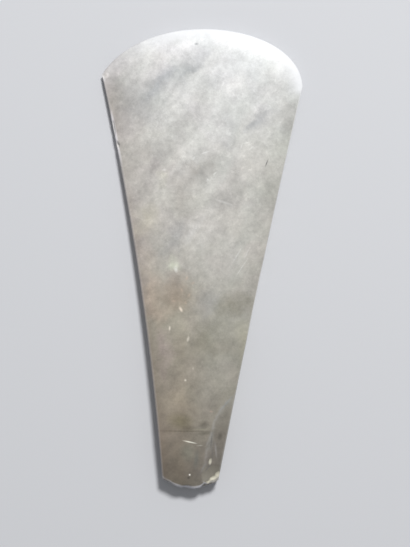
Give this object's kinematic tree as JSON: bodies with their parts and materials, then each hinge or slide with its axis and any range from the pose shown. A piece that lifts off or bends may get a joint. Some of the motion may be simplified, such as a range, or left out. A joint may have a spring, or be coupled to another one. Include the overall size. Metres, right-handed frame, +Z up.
{
  "type": "polished stone axe",
  "caption": "Flared flat-sided blade of ground and polished stone with a curved cutting edge and a rough chipped butt, lying flat.",
  "frame": {"origin": "on the surface that the blade lies on, under the middle of its bounding box", "axes": "+X across the blade, +Y along it towards the cutting edge, +Z up out of the broad face that shows"},
  "size_m": [0.1008, 0.2302, 0.0116],
  "materials": {
    "greenstone": "ground and polished to a satin, browner and duller at the butt, with small fresh chips"
  },
  "bodies": {
    "root": {"axe_head": "greenstone"}
  },
  "joints": []
}
